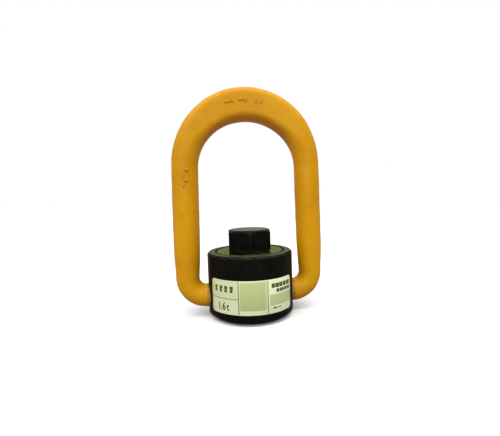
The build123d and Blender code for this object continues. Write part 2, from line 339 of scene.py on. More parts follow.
def joined(pieces, name):
    """Several pieces made one."""
    nothing_selected()
    for piece in pieces:
        piece.select_set(True)
    bpy.context.view_layer.objects.active = pieces[0]
    bpy.ops.object.join()
    whole = bpy.context.object
    whole.name = whole.data.name = name
    return whole


def dressed(piece, material):
    """Gives the piece its one material."""
    piece.data.materials.clear()
    piece.data.materials.append(material)


def placed(piece, body, slot, material, *nodes):
    """Dresses a finished piece, puts it on its body and lets it stand for its frame nodes."""
    dressed(piece, material)
    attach(piece, body)
    if nodes:
        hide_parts(*nodes)


def eased(share):
    """A smooth step from 0 to 1."""
    share = min(max(share, 0.0), 1.0)
    return share * share * (3 - 2 * share)


# ---- wiring nodes ----


BEVEL_SAMPLES = 6


class Desk:
    """Adds nodes to one tree and wires them."""

    def __init__(self, tree):
        self.tree = tree

    def feed(self, socket, value):
        """Links a socket, or sets it to a plain value."""
        if isinstance(value, bpy.types.NodeSocket):
            self.tree.links.new(value, socket)
        elif hasattr(value, "__len__"):
            values = list(value)
            wanted = len(socket.default_value)
            socket.default_value = values + [1.0] * (wanted - len(values))
        else:
            socket.default_value = value

    def add(self, kind, feeds, **settings):
        """Adds a node with its settings, and feeds its inputs by name or number."""
        node = self.tree.nodes.new(kind)
        for key, value in settings.items():
            setattr(node, key, value)
        for key, value in feeds.items():
            self.feed(node.inputs[key], value)
        return node

    def calc(self, operation, *values, clamp=False):
        """A Math node."""
        feeds = dict(enumerate(values))
        return self.add("ShaderNodeMath", feeds, operation=operation, use_clamp=clamp).outputs[0]

    def vector(self, operation, *values, out=0):
        """A Vector Math node."""
        node = self.add("ShaderNodeVectorMath", dict(enumerate(values)), operation=operation)
        return node.outputs[out]

    def blend(self, share, first, second):
        """A colour mix, from first at 0 to second at 1."""
        feeds = {0: share, 6: first, 7: second}
        return self.add("ShaderNodeMix", feeds, data_type="RGBA", clamp_factor=True).outputs[2]

    def times(self, first, second, clamp=False):
        """One value times another."""
        return self.calc("MULTIPLY", first, second, clamp=clamp)

    def larger(self, first, second):
        """The larger of two values."""
        return self.calc("MAXIMUM", first, second)

    def plus(self, first, second):
        """One value and another."""
        return self.calc("ADD", first, second)

    def rest(self, value, clamp=False):
        """What a value leaves of 1."""
        return self.calc("SUBTRACT", 1.0, value, clamp=clamp)

    def radius(self, x, y):
        """The distance from the bolt's axis."""
        return self.calc("SQRT", self.plus(self.times(x, x), self.times(y, y)))

    def rounded(self, radius):
        """The normal as it would be with every edge rounded."""
        return self.add("ShaderNodeBevel", {"Radius": radius}, samples=BEVEL_SAMPLES).outputs[0]

    def fit(self, value, low, high, to_low=0.0, to_high=1.0):
        """A value carried smoothly from one range to another, and kept inside it."""
        feeds = {"Value": value, "From Min": low, "From Max": high}
        feeds.update({"To Min": to_low, "To Max": to_high})
        return self.add("ShaderNodeMapRange", feeds, interpolation_type="SMOOTHSTEP").outputs[0]

    def noise(self, place, scale, detail=2.0, rough=0.5):
        """A noise value round 0.5."""
        feeds = {"Vector": place, "Scale": scale, "Detail": detail, "Roughness": rough}
        return self.add("ShaderNodeTexNoise", feeds).outputs["Fac"]

    def uneven(self, place, scale, detail, low, high):
        """A value that wanders between two limits."""
        return self.fit(self.noise(place, scale, detail, 0.6), 0.3, 0.7, low, high)

    def place(self):
        """The place on the piece, in metres."""
        return self.add("ShaderNodeTexCoord", {}).outputs["Object"]

    def place_in_sky(self):
        """The direction looked in, for a world."""
        return self.add("ShaderNodeTexCoord", {}).outputs["Generated"]

    def facing(self):
        """The way the surface faces, in the piece's own axes."""
        return self.add("ShaderNodeTexCoord", {}).outputs["Normal"]

    def upward(self):
        """How far the surface faces up, from -1 to 1."""
        return self.parts(self.facing())[2]

    def parts(self, vector):
        """The X, Y and Z of a vector."""
        return self.add("ShaderNodeSeparateXYZ", {0: vector}).outputs

    def stretched(self, place, scale):
        """A place with its axes stretched, for grain that runs one way."""
        return self.add("ShaderNodeMapping", {"Vector": place, "Scale": scale}).outputs[0]

    def bump(self, height, distance, strength=1.0, normal=None):
        """A Bump node, over an earlier one if given."""
        feeds = {"Height": height, "Distance": distance, "Strength": strength}
        if normal is not None:
            feeds["Normal"] = normal
        return self.add("ShaderNodeBump", feeds).outputs[0]

    def use(self, name, place, **feeds):
        """What a shared group gives at a place, with these values."""
        feeds["Vector"] = place
        return self.add("ShaderNodeGroup", feeds, node_tree=shared(name)).outputs[0]


GROUPS = {}


def group(output="Mask", **inputs):
    """Files a wiring function under its own name, with what each input is when it isn't fed."""

    def filed(wire):
        GROUPS[wire.__name__] = (output, inputs, wire)
        return wire

    return filed


def shared(name):
    """The shader node group of that name, built once."""
    if name in bpy.data.node_groups:
        return bpy.data.node_groups[name]
    output, inputs, wire = GROUPS[name]
    tree = bpy.data.node_groups.new(name, "ShaderNodeTree")
    tree.interface.new_socket(name="Vector", in_out="INPUT", socket_type="NodeSocketVector")
    for label, value in inputs.items():
        socket = tree.interface.new_socket(name=label, in_out="INPUT", socket_type="NodeSocketFloat")
        socket.default_value = value
    tree.interface.new_socket(name=output, in_out="OUTPUT", socket_type="NodeSocketFloat")
    entry = tree.nodes.new("NodeGroupInput")
    leave = tree.nodes.new("NodeGroupOutput")
    tree.links.new(wire(Desk(tree), entry.outputs), leave.inputs[0])
    return tree


@group(Radius=0.3 * MM, Wear=0.3, Scale=600.0)
def worn_edges(desk, given):
    """Where edges are rubbed: a mask from how far a rounded normal turns away from the real one."""
    rounded = desk.rounded(given["Radius"])
    flat = desk.add("ShaderNodeNewGeometry", {}).outputs["Normal"]
    turn = desk.rest(desk.vector("DOT_PRODUCT", rounded, flat, out=1))
    broken = desk.noise(given["Vector"], given["Scale"], 4.0, 0.65)
    edge = desk.fit(turn, 0.004, 0.07)
    chance = desk.fit(broken, desk.calc("SUBTRACT", 0.72, given["Wear"]), 0.78)
    return desk.times(edge, chance, clamp=True)


@group(Scale=60.0, Low=0.4, High=0.65)
def patches(desk, given):
    """Soft irregular patches."""
    broad = desk.noise(given["Vector"], given["Scale"], 3.0, 0.55)
    return desk.fit(broad, given["Low"], given["High"])


@group("Height", Scale=900.0)
def skin_grain(desk, given):
    """The fine relief of a sprayed or blackened surface, at two sizes."""
    peel = desk.noise(given["Vector"], given["Scale"], 1.0, 0.4)
    dust = desk.noise(given["Vector"], desk.times(given["Scale"], 5.0), 2.0, 0.6)
    return desk.plus(desk.times(peel, 0.75), desk.times(dust, 0.25))


@group("Height", Pitch=0.35 * MM)
def lathe_rings(desk, given):
    """The fine rings that a turning tool leaves about the bolt's axis."""
    x, y, z = desk.parts(given["Vector"])
    along = desk.plus(desk.radius(x, y), z)
    wave = desk.calc("SINE", desk.times(desk.calc("DIVIDE", along, given["Pitch"]), 2 * math.pi))
    line = desk.add("ShaderNodeCombineXYZ", {0: along, 1: desk.times(z, 0.5)}).outputs[0]
    uneven = desk.noise(line, 3200.0, 3.0, 0.7)
    return desk.plus(desk.times(wave, 0.25), uneven)


@group(Scale=350.0, Amount=0.3)
def settled_dust(desk, given):
    """Dust that lies on faces turned upwards, in patches."""
    up = desk.upward()
    broken = desk.noise(given["Vector"], given["Scale"], 5.0, 0.6)
    lying = desk.times(desk.fit(up, 0.25, 0.95), desk.fit(broken, 0.35, 0.7))
    return desk.times(lying, given["Amount"], clamp=True)


@group(Scale=60.0, Width=0.012)
def hair_scratches(desk, given):
    """Thin scratches that run along the stretched axis."""
    thin = desk.noise(given["Vector"], given["Scale"], 2.0, 0.5)
    line = desk.calc("ABSOLUTE", desk.calc("SUBTRACT", thin, 0.5))
    return desk.rest(desk.fit(line, 0.0, given["Width"]))


def material(name, wire, **constants):
    """A Principled material. wire(desk, place) gives the sockets that vary over the surface."""
    made = bpy.data.materials.new(name)
    made.use_nodes = True
    shader = made.node_tree.nodes["Principled BSDF"]
    for key, value in constants.items():
        shader.inputs[key.replace("_", " ")].default_value = value
    desk = Desk(made.node_tree)
    for key, value in wire(desk, desk.place()).items():
        desk.feed(shader.inputs[key], value)
    return made


# ---- finishes ----


def yellow_paint():
    """Thick sprayed paint on forged steel, rubbed through beside the housing and on high edges, with
    painted shade under the bow and on the legs' inner faces.
    """
    tones = bpy.context.scene.hoist_link
    crown = link_path()[4]

    def wire(desk, place):
        x, _, z = desk.parts(place)
        tone = desk.use("patches", place, Scale=38.0, Low=0.38, High=0.68)
        speck = desk.noise(place, 2600.0, 2.0, 0.6)
        base = desk.blend(desk.times(tone, 0.55), tones.paint, tones.paint_deep)
        base = desk.blend(desk.fit(speck, 0.60, 0.80, 0.0, 0.35), base, tones.paint_deep)
        over_crown = desk.larger(desk.calc("SUBTRACT", z, crown.z), 0.0)
        outward = desk.add("ShaderNodeCombineXYZ", {0: x, 2: over_crown}).outputs[0]
        outward = desk.vector("NORMALIZE", outward)
        inward = desk.times(desk.vector("DOT_PRODUCT", desk.facing(), outward, out=1), -1.0)
        # Painted shade: faces turned down under the crown, and faintly the inner faces of the legs,
        # are blended to a darker orange.
        under = desk.fit(desk.times(desk.upward(), -1.0), 0.20, 0.75, 0.0, 0.85)
        gets_painted_shade = desk.larger(under, desk.fit(inward, 0.35, 0.95, 0.0, 0.22))
        base = desk.blend(gets_painted_shade, base, tones.under_bow_shade)
        worn = desk.use("worn_edges", place, Radius=0.35 * MM, Wear=0.12, Scale=900.0)
        low = desk.fit(z, PIVOT_Z + 6 * MM, PIVOT_Z + 9 * MM, 1.0, 0.0)
        near = desk.fit(desk.calc("ABSOLUTE", x), HOUSING_R + 0.2 * MM, HOUSING_R + 1.6 * MM, 1.0, 0.0)
        near = desk.times(near, low)
        rubbed = desk.times(near, desk.fit(desk.noise(place, 1500.0, 4.0, 0.7), 0.42, 0.60))
        chips = desk.fit(desk.noise(place, 520.0, 5.0, 0.75), 0.735, 0.76)
        bare = desk.larger(desk.larger(desk.times(worn, 0.5), rubbed), chips)
        dust = desk.use("settled_dust", place, Scale=240.0, Amount=0.08)
        painted = desk.blend(dust, base, (0.52, 0.38, 0.15))
        grain = desk.use("skin_grain", place, Scale=620.0)
        relief = desk.bump(grain, 0.10 * MM, 0.55)
        relief = desk.bump(desk.times(bare, -1.0), 0.06 * MM, 0.8, relief)
        gloss = desk.uneven(place, 130.0, 4.0, 0.30, 0.44)
        return {
            "Base Color": desk.blend(bare, painted, tones.steel),
            "Roughness": desk.plus(gloss, desk.times(desk.plus(dust, bare), 0.25)),
            "Metallic": desk.times(bare, 0.8),
            "Coat Weight": desk.times(desk.rest(bare, clamp=True), 0.22),
            "Normal": relief,
        }

    return material("yellow_paint", wire, Coat_Roughness=0.10, Specular_IOR_Level=0.03)


def blackened_steel():
    """The housing: blackened, turned steel with its top face rubbed to an olive grey."""
    tones = bpy.context.scene.hoist_housing

    def wire(desk, place):
        z = desk.parts(place)[2]
        up = desk.upward()
        top = desk.times(desk.fit(up, 0.90, 0.99), desk.fit(z, RIM_Z - 0.6 * MM, RIM_Z - 0.2 * MM))
        mottle = desk.use("patches", place, Scale=210.0, Low=0.30, High=0.72)
        black = desk.blend(desk.times(mottle, 0.5), tones.black, (0.006, 0.0055, 0.0035))
        worn = desk.use("worn_edges", place, Radius=0.45 * MM, Wear=0.30, Scale=700.0)
        shown = desk.times(top, desk.fit(desk.noise(place, 420.0, 4.0, 0.6), 0.25, 0.75, 0.45, 1.0))
        shown = desk.larger(shown, desk.times(worn, 0.55))
        around = desk.stretched(place, (1.0, 1.0, 26.0))
        rubs = desk.use("hair_scratches", around, Scale=42.0, Width=0.010)
        rubs = desk.times(rubs, desk.fit(desk.noise(place, 95.0, 2.0, 0.5), 0.50, 0.66, 0.0, 0.40))
        dust = desk.use("settled_dust", place, Scale=300.0, Amount=0.14)
        base = desk.blend(shown, black, tones.machined)
        base = desk.blend(rubs, base, (0.055, 0.055, 0.045))
        rings = desk.use("lathe_rings", place, Pitch=0.42 * MM)
        grain = desk.use("skin_grain", place, Scale=1500.0)
        relief = desk.bump(rings, 0.020 * MM, 0.5)
        relief = desk.bump(grain, 0.03 * MM, 0.5, relief)
        gloss = desk.uneven(place, 160.0, 4.0, 0.36, 0.50)
        return {
            "Base Color": desk.blend(dust, base, (0.16, 0.16, 0.12)),
            "Roughness": desk.plus(gloss, desk.times(dust, 0.4)),
            "Metallic": desk.times(shown, 0.75),
            "Normal": relief,
        }

    return material("blackened_steel", wire, Specular_IOR_Level=0.055)


def black_oxide():
    """The bolt: black oxide with bright rubbed edges and a paler, turned top."""
    tones = bpy.context.scene.hoist_bolt
    head_top = BOLT_HIGH.z

    def wire(desk, place):
        z = desk.parts(place)[2]
        up = desk.upward()
        end_face = desk.fit(z, head_top - 0.3 * MM, head_top - 0.1 * MM)
        top = desk.times(desk.fit(up, 0.95, 0.995), end_face)
        uneven = desk.fit(desk.noise(place, 330.0, 5.0, 0.65), 0.30, 0.70, 0.40, 0.95)
        worn = desk.use("worn_edges", place, Radius=0.50 * MM, Wear=0.34, Scale=800.0)
        shown = desk.larger(desk.times(top, uneven), desk.times(worn, 0.6))
        mottle = desk.use("patches", place, Scale=260.0, Low=0.3, High=0.7)
        black = desk.blend(desk.times(mottle, 0.55), tones.black, (0.006, 0.006, 0.004))
        rings = desk.use("lathe_rings", place, Pitch=0.38 * MM)
        grain = desk.use("skin_grain", place, Scale=1700.0)
        soft = desk.rounded(0.22 * MM)
        relief = desk.bump(desk.times(rings, top), 0.03 * MM, 0.6, soft)
        relief = desk.bump(grain, 0.035 * MM, 0.5, relief)
        return {
            "Base Color": desk.blend(shown, black, tones.worn),
            "Roughness": desk.uneven(place, 240.0, 4.0, 0.32, 0.46),
            "Metallic": desk.fit(shown, 0.0, 1.0, 0.0, 0.85),
            "Normal": relief,
        }

    return material("black_oxide", wire, Specular_IOR_Level=0.05)


def olive_passivate():
    """The bush and washer: turned steel with an olive, slightly iridescent passivated zinc, darkened
    round the flange's edge by grime and painted shade.
    """
    tones = bpy.context.scene.hoist_bolt

    def wire(desk, place):
        broad = desk.use("patches", place, Scale=120.0, Low=0.35, High=0.65)
        fine = desk.noise(place, 1400.0, 4.0, 0.65)
        base = desk.blend(desk.times(broad, 0.6), tones.passivate, (0.37, 0.34, 0.09))
        base = desk.blend(desk.fit(fine, 0.45, 0.80, 0.0, 0.5), base, (0.24, 0.29, 0.075))
        worn = desk.use("worn_edges", place, Radius=0.40 * MM, Wear=0.25, Scale=900.0)
        rings = desk.use("lathe_rings", place, Pitch=0.45 * MM)
        soft = desk.rounded(0.15 * MM)
        relief = desk.bump(rings, 0.008 * MM, 0.4, soft)
        # Near-black, rougher ring round the flange's edge beside the seal: partly grime, partly
        # painted shade in the groove between flange and seal.
        x, y, _ = desk.parts(place)
        ragged = desk.plus(desk.radius(x, y), desk.times(desk.calc("SUBTRACT", fine, 0.5), 1.2 * MM))
        grime_and_shade = desk.fit(ragged, FLANGE_R - 0.75 * MM, FLANGE_R - 0.35 * MM)
        base = desk.blend(desk.times(worn, 0.5), base, (0.52, 0.52, 0.36))
        smooth = desk.uneven(place, 300.0, 4.0, 0.10, 0.19)
        return {
            "Base Color": desk.blend(grime_and_shade, base, (0.022, 0.022, 0.012)),
            "Roughness": desk.plus(smooth, desk.times(grime_and_shade, 0.45)),
            "Metallic": desk.times(desk.fit(broad, 0.0, 1.0, 1.0, 0.93), desk.rest(grime_and_shade)),
            "Normal": relief,
        }

    return material("olive_passivate", wire, Specular_Tint=(0.62, 0.67, 0.34, 1.0))


def seal_rubber():
    """Black nitrile with a dusty bloom."""
    tones = bpy.context.scene.hoist_bolt

    def wire(desk, place):
        bloom = desk.use("settled_dust", place, Scale=500.0, Amount=0.16)
        grain = desk.use("skin_grain", place, Scale=2400.0)
        return {
            "Base Color": desk.blend(bloom, tones.rubber, (0.09, 0.09, 0.08)),
            "Roughness": desk.uneven(place, 500.0, 3.0, 0.60, 0.80),
            "Normal": desk.bump(grain, 0.03 * MM, 0.6),
        }

    return material("seal_rubber", wire, Specular_IOR_Level=0.35)


def plain_metal(name, rgb, low_rough, high_rough, tint, grain_scale=1800.0):
    """A bare metal with slight stains, fine relief and rubbed edges."""

    def wire(desk, place):
        stain = desk.use("patches", place, Scale=420.0, Low=0.42, High=0.72)
        worn = desk.use("worn_edges", place, Radius=0.2 * MM, Wear=0.3, Scale=1200.0)
        base = desk.blend(desk.times(stain, 0.5), rgb, tint)
        bright = tuple(min(1.0, 1.35 * part + 0.04) for part in rgb)
        grain = desk.use("skin_grain", place, Scale=grain_scale)
        return {
            "Base Color": desk.blend(desk.times(worn, 0.5), base, bright),
            "Roughness": desk.uneven(place, 700.0, 3.0, low_rough, high_rough),
            "Metallic": desk.fit(stain, 0.0, 1.0, 1.0, 0.85),
            "Normal": desk.bump(grain, 0.012 * MM, 0.4),
        }

    return material(name, wire)


def band(desk, value, low, high, soft):
    """1 between two limits, with soft sides."""
    rise = desk.fit(value, low - soft, low + soft)
    fall = desk.fit(value, high - soft, high + soft, 1.0, 0.0)
    return desk.times(rise, fall)


def label_film():
    """Printed vinyl: pale border, filled fields and dark rules, set out by angle and height."""
    sizes = bpy.context.scene.hoist_label
    foot, head = LABEL_LOW.z, LABEL_HIGH.z
    rule_half = RULE_WIDTH / 2 / HOUSING_R
    gap = FIELD_GAP / HOUSING_R
    soft = PRINT_SOFTNESS / HOUSING_R

    def wire(desk, place):
        x, y, z = desk.parts(place)
        round_from_front = desk.calc("ARCTAN2", x, desk.times(y, -1.0))

        def field(start, end, low, high):
            across = band(desk, round_from_front, start, end, soft)
            return desk.times(across, band(desk, z, foot + low * MM, foot + high * MM, 0.12 * MM))

        middle = field(sizes.first_rule + 0.5 * gap, sizes.second_rule - 1.2 * gap, 2.4, 17.4)
        beside = field(sizes.first_rule + 0.5 * gap, sizes.second_rule - 0.3 * gap, 3.0, 18.0)
        last = field(sizes.second_rule + 0.9 * gap, sizes.end - 0.3 * gap, 4.2, 10.2)
        filled = desk.larger(middle, desk.times(last, 0.85))
        filled = desk.larger(filled, desk.times(beside, 0.70))
        full = band(desk, z, foot + 0.35 * MM, head - 0.35 * MM, 0.08 * MM)
        rules = [
            desk.times(full, band(desk, round_from_front, at - rule_half, at + rule_half, 0.3 * soft))
            for at in (sizes.first_rule, sizes.second_rule)
        ]
        cross = foot + sizes.cross_rule
        level = desk.times(
            band(desk, z, cross - 0.17 * MM, cross + 0.17 * MM, 0.05 * MM),
            band(desk, round_from_front, sizes.start + 0.5 * gap, sizes.first_rule, 0.3 * soft),
        )
        ruled = desk.larger(desk.larger(rules[0], desk.times(rules[1], 0.8)), level)
        right = desk.fit(round_from_front, sizes.first_rule - soft, sizes.first_rule + soft)
        # The film grows paler towards the label's foot.
        paler_to_foot = desk.fit(z, foot + 1 * MM, foot + 11 * MM, 0.8, 0.0)
        stain = desk.noise(place, 220.0, 5.0, 0.6)
        base = desk.blend(desk.larger(right, paler_to_foot), sizes.film, sizes.frame_tone)
        base = desk.blend(filled, base, sizes.field)
        base = desk.blend(desk.fit(stain, 0.45, 0.80, 0.0, 0.30), base, (0.50, 0.52, 0.25))
        base = desk.blend(desk.times(ruled, 0.85), base, sizes.ink)
        around = desk.stretched(place, (1.0, 1.0, 9.0))
        scuffs = desk.use("hair_scratches", around, Scale=55.0, Width=0.008)
        scuffs = desk.times(scuffs, desk.fit(stain, 0.5, 0.7, 0.0, 0.35))
        base = desk.blend(scuffs, base, (0.30, 0.31, 0.20))
        grain = desk.use("skin_grain", place, Scale=900.0)
        return {
            "Base Color": base,
            "Roughness": desk.fit(stain, 0.3, 0.7, 0.34, 0.50),
            "Normal": desk.bump(grain, 0.02 * MM, 0.5),
        }

    return material("label_film", wire, Specular_IOR_Level=0.45)


def label_ink(name, rgb):
    """Screen-printed ink, thin in places so that it shows slightly uneven."""

    def wire(desk, place):
        thin = desk.noise(place, 2200.0, 4.0, 0.7)
        pale = tuple(min(1.0, part * 2.6 + 0.05) for part in rgb)
        return {
            "Base Color": desk.blend(desk.fit(thin, 0.52, 0.80, 0.0, 0.55), rgb, pale),
            "Roughness": desk.fit(thin, 0.3, 0.7, 0.40, 0.58),
            "Normal": desk.bump(thin, 0.006 * MM, 0.4),
        }

    return material(name, wire)


def floor_paint():
    """A pale matt floor with the faintest unevenness, which throws little light back up."""
    tone = bpy.context.scene.hoist_stage.floor
    bounce = bpy.context.scene.hoist_stage.floor_bounce

    def wire(desk, place):
        cloud = desk.noise(place, 3.0, 2.0, 0.5)
        darker = tuple(part * 0.985 for part in tone)
        seen = desk.add("ShaderNodeLightPath", {}).outputs["Is Camera Ray"]
        pale = desk.blend(cloud, tone, darker)
        return {
            "Base Color": desk.blend(seen, bounce, pale),
            "Roughness": desk.fit(cloud, 0.3, 0.7, 0.85, 0.95),
        }

    return material("floor", wire, Specular_IOR_Level=0.1)


# ---- the link ----


def link_path():
    """The link's centreline in the XZ plane, as named places and radii."""
    sizes = bpy.context.scene.hoist_link
    trunnion_r = PIVOT_Z - LINK_LOW.z
    corner_r = trunnion_r + sizes.inner_fillet
    corner = Vector((HOUSING_R + sizes.trunnion_show, 0, PIVOT_Z + corner_r))
    crown_r = corner.x + corner_r - sizes.leg_closing
    crown = Vector((0, 0, PIVOT_Z + sizes.crown_start))
    lean = math.atan2(sizes.leg_closing, sizes.crown_start - corner_r)
    side = Vector((math.cos(lean), 0, math.sin(lean)))
    low, high = corner + corner_r * side, crown + crown_r * side
    return trunnion_r, corner_r, corner, crown_r, crown, lean, low, high


def swollen(piece):
    """Grows the bar from the trunnion to the legs and the thicker crown, and presses the pads flat."""
    sizes = bpy.context.scene.hoist_link
    trunnion_r, _, _, crown_r, crown, lean, low, high = link_path()
    leg_r = sizes.bar / 2
    up = (high - low).normalized()
    for vertex in piece.data.vertices:
        point = vertex.co.copy()
        if point.z <= low.z:
            continue
        mirrored = -1 if point.x < 0 else 1
        flat = Vector((abs(point.x), 0, point.z))
        turn = math.atan2(flat.z - crown.z, flat.x)
        if turn > lean:
            swell = math.sin(turn) ** 1.5
            middle = crown + crown_r * Vector((math.cos(turn), 0, math.sin(turn)))
            depth = leg_r + sizes.crown_thickening / 2 * swell
            width = leg_r + sizes.crown_widening / 2 * swell
        else:
            run = (flat - low).dot(up)
            middle = low + run * up
            depth = width = trunnion_r + (leg_r - trunnion_r) * eased(run / sizes.swell_length)
        radial = (flat - middle) / trunnion_r
        aside = point.y / trunnion_r
        hold = eased((turn - math.radians(10)) / math.radians(45)) if turn > lean else 0.0
        power = 2 / (2 + sizes.squareness * hold)
        if radial.length > 0:
            radial = radial.normalized() * radial.length**power
        aside = math.copysign(abs(aside) ** power, aside)
        out = middle + radial * depth
        across = aside * width
        if turn > lean:
            limit = width + (sizes.pad_flat - width) * hold
            pressed = limit + 0.18 * max(abs(across) - limit, 0.0)
            across = math.copysign(min(abs(across), pressed), across)
        vertex.co = (mirrored * out.x, across, out.z)


def flash_line(piece):
    """Raises the trimmed forging line along the middle plane, inside and outside the bow."""
    height = bpy.context.scene.hoist_link.flash_height
    half_width = 0.65 * MM
    normals = [vertex.normal.copy() for vertex in piece.data.vertices]
    for vertex, normal in zip(piece.data.vertices, normals):
        if vertex.co.z < PIVOT_Z + 4 * MM and abs(vertex.co.x) < HOUSING_R + 2 * MM:
            continue
        raised = vertex.co + normal * height * math.exp(-((vertex.co.y / half_width) ** 2))
        limits = zip(raised, LINK_LOW, LINK_HIGH)
        vertex.co = [min(max(value, low), high) for value, low, high in limits]


def forged_skin(piece):
    """Lets the skin wander slightly, as a hammered bar does."""
    ripple = bpy.context.scene.hoist_link.ripple
    cloud = bpy.data.textures.new("forged_ripple", "CLOUDS")
    cloud.noise_scale = 9 * MM
    cloud.noise_depth = 2
    applied(piece, "DISPLACE", texture=cloud, strength=ripple, mid_level=0.75, texture_coords="LOCAL")


def link_bar():
    """The bow: a ring extruded along the trunnion, round the corner, up the leg and over the top."""
    sizes = bpy.context.scene.hoist_link
    trunnion_r, _, corner, _, crown, lean, low, high = link_path()
    nothing_selected()
    bpy.ops.mesh.primitive_circle_add(
        vertices=BAR_SIDES,
        radius=trunnion_r,
        location=(sizes.trunnion_inside, 0, PIVOT_Z),
        rotation=(0, math.pi / 2, 0),
    )
    piece = named("forged_link")
    edit(piece)
    step = (corner.x - sizes.trunnion_inside) / TRUNNION_STEPS
    for _ in range(TRUNNION_STEPS):
        bpy.ops.mesh.extrude_region_move(TRANSFORM_OT_translate={"value": (step, 0, 0)})
    bpy.ops.mesh.spin(steps=CORNER_STEPS, angle=math.pi / 2 + lean, center=corner, axis=(0, 1, 0))
    rise = (high - low) / LEG_STEPS
    for _ in range(LEG_STEPS):
        bpy.ops.mesh.extrude_region_move(TRANSFORM_OT_translate={"value": rise})
    bpy.ops.mesh.spin(steps=CROWN_STEPS, angle=math.pi / 2 - lean, center=crown, axis=(0, 1, 0))
    bpy.ops.object.mode_set(mode="OBJECT")
    applied(piece, "MIRROR", use_clip=True, merge_threshold=0.01 * MM)
    edit(piece, selected=False)
    bpy.ops.mesh.select_mode(type="EDGE")
    bpy.ops.mesh.select_non_manifold()
    bpy.ops.mesh.fill_holes(sides=0)
    bpy.ops.object.mode_set(mode="OBJECT")
    cleaned(piece)
    swollen(piece)
    applied(piece, "SUBSURF", levels=2, render_levels=2)
    forged_skin(piece)
    flash_line(piece)
    smoothed(piece, 60)
    return piece


def raised_mark(size, place, turn, surface):
    """One small raised mark on the link's front: a block with rounded edges, sunk into the surface."""
    nothing_selected()
    bpy.ops.mesh.primitive_cube_add(size=1, location=(0, 0, 0))
    mark = named("mark")
    edit(mark)
    bpy.ops.transform.resize(value=(size[0], size[1], size[2]))
    bpy.ops.mesh.bevel(offset=0.22 * MM, segments=3, affect="EDGES")
    bpy.ops.object.mode_set(mode="OBJECT")
    lift = Matrix.Translation((place[0], surface, place[1])) @ Matrix.Rotation(turn, 4, "Y")
    mark.data.transform(lift)
    return mark


def link_marks():
    """Plain raised bars on the crown and on one leg, where a forge would put its own marks."""
    sizes = bpy.context.scene.hoist_link
    _, _, _, crown_r, crown, _, low, high = link_path()
    marks = []
    pad = -sizes.pad_flat
    row_r = crown_r + 1.4 * MM
    for degrees, wide, tall in CROWN_MARKS:
        turn = math.radians(degrees)
        place = (row_r * math.cos(turn), crown.z + row_r * math.sin(turn))
        marks.append(raised_mark((wide * MM, 1.0 * MM, tall * MM), place, math.pi / 2 - turn, pad))
    up = (high - low).normalized()
    leg_face = -(sizes.bar / 2 - 0.16 * MM)
    for run, across, wide, tall in LEG_MARKS:
        middle = low + run * (high - low).length * up
        place = (-middle.x + across * MM, middle.z)
        marks.append(raised_mark((wide * MM, 0.9 * MM, tall * MM), place, 0.0, leg_face))
    piece = joined(marks, "link_marks")
    smoothed(piece, 40)
    return piece


class HOIST_OT_link(bpy.types.Operator):
    """Forge and paint the link with its raised marks"""

    bl_idname = "hoist.link"
    bl_label = "Link"

    def execute(self, context):
        paint = yellow_paint()
        placed(link_bar(), "link", "yellow_paint", paint, "load_link")
        placed(link_marks(), "link", "yellow_paint", paint)
        return {"FINISHED"}


# ---- the housing ----


def housing_shell():
    """The housing: turned, drilled across for the trunnions, with every edge slightly rounded."""
    sizes = bpy.context.scene.hoist_housing
    base, wall = HOUSING_LOW.z, sizes.rim_wall
    recess_r, recess_z = WASHER_HIGH.x + WASHER_CLEARANCE, WASHER_HIGH.z + RUNNING_FIT
    bore_r, seat_z, well_r = sizes.bore / 2, RACE_LOW.z, HOUSING_R - wall
    shell = turned(
        "housing_shell",
        [
            (recess_r, base),
            (HOUSING_R - sizes.base_chamfer, base),
            (HOUSING_R, base + sizes.base_chamfer_height),
            (HOUSING_R, RIM_Z - sizes.rim_chamfer),
            (HOUSING_R - sizes.rim_chamfer, RIM_Z),
            (well_r, RIM_Z),
            (well_r, seat_z),
            (bore_r, seat_z),
            (bore_r, recess_z),
            (recess_r, recess_z),
        ],
        HOUSING_SEGMENTS,
    )
    bevelled(shell, sizes.edge, 3, 25)
    nothing_selected()
    trunnion_r = PIVOT_Z - LINK_LOW.z
    bpy.ops.mesh.primitive_cylinder_add(
        vertices=DRILL_SIDES,
        radius=trunnion_r + RUNNING_FIT,
        depth=3 * HOUSING_R,
        location=(0, 0, PIVOT_Z),
        rotation=(0, math.pi / 2, 0),
    )
    drill = named("drill")
    applied(shell, "BOOLEAN", operation="DIFFERENCE", solver="EXACT", object=drill)
    bpy.data.objects.remove(drill)
    cleaned(shell)
    smoothed(shell, 30)
    return shell


class HOIST_OT_housing(bpy.types.Operator):
    """Turn and drill the swivel housing"""

    bl_idname = "hoist.housing"
    bl_label = "Housing"

    def execute(self, context):
        placed(housing_shell(), "housing", "black_housing", blackened_steel(), "swivel_housing")
        return {"FINISHED"}


# ---- the label ----


def wrapped(piece, radius):
    """Bends a flat sheet round the housing: X is the way round, Y the height, Z the standing out."""
    for vertex in piece.data.vertices:
        turn = vertex.co.x / radius
        out = radius + vertex.co.z
        vertex.co = (out * math.sin(turn), -out * math.cos(turn), vertex.co.y)


def flat_sheet(name, start, end, foot, head, corner, steps):
    """A flat rectangle with rounded corners, cut into upright strips so that it can bend."""
    nothing_selected()
    bpy.ops.mesh.primitive_plane_add(size=1, location=((start + end) / 2, (foot + head) / 2, 0))
    sheet = bpy.context.object
    sheet.scale = (end - start, head - foot, 1)
    sheet = named(name)
    edit(sheet)
    if corner:
        bpy.ops.mesh.bevel(offset=corner, segments=6, affect="VERTICES")
    for index in range(1, steps):
        bpy.ops.mesh.select_all(action="SELECT")
        at = start + (end - start) * index / steps
        bpy.ops.mesh.bisect(plane_co=(at, 0, 0), plane_no=(1, 0, 0))
    bpy.ops.object.mode_set(mode="OBJECT")
    return sheet


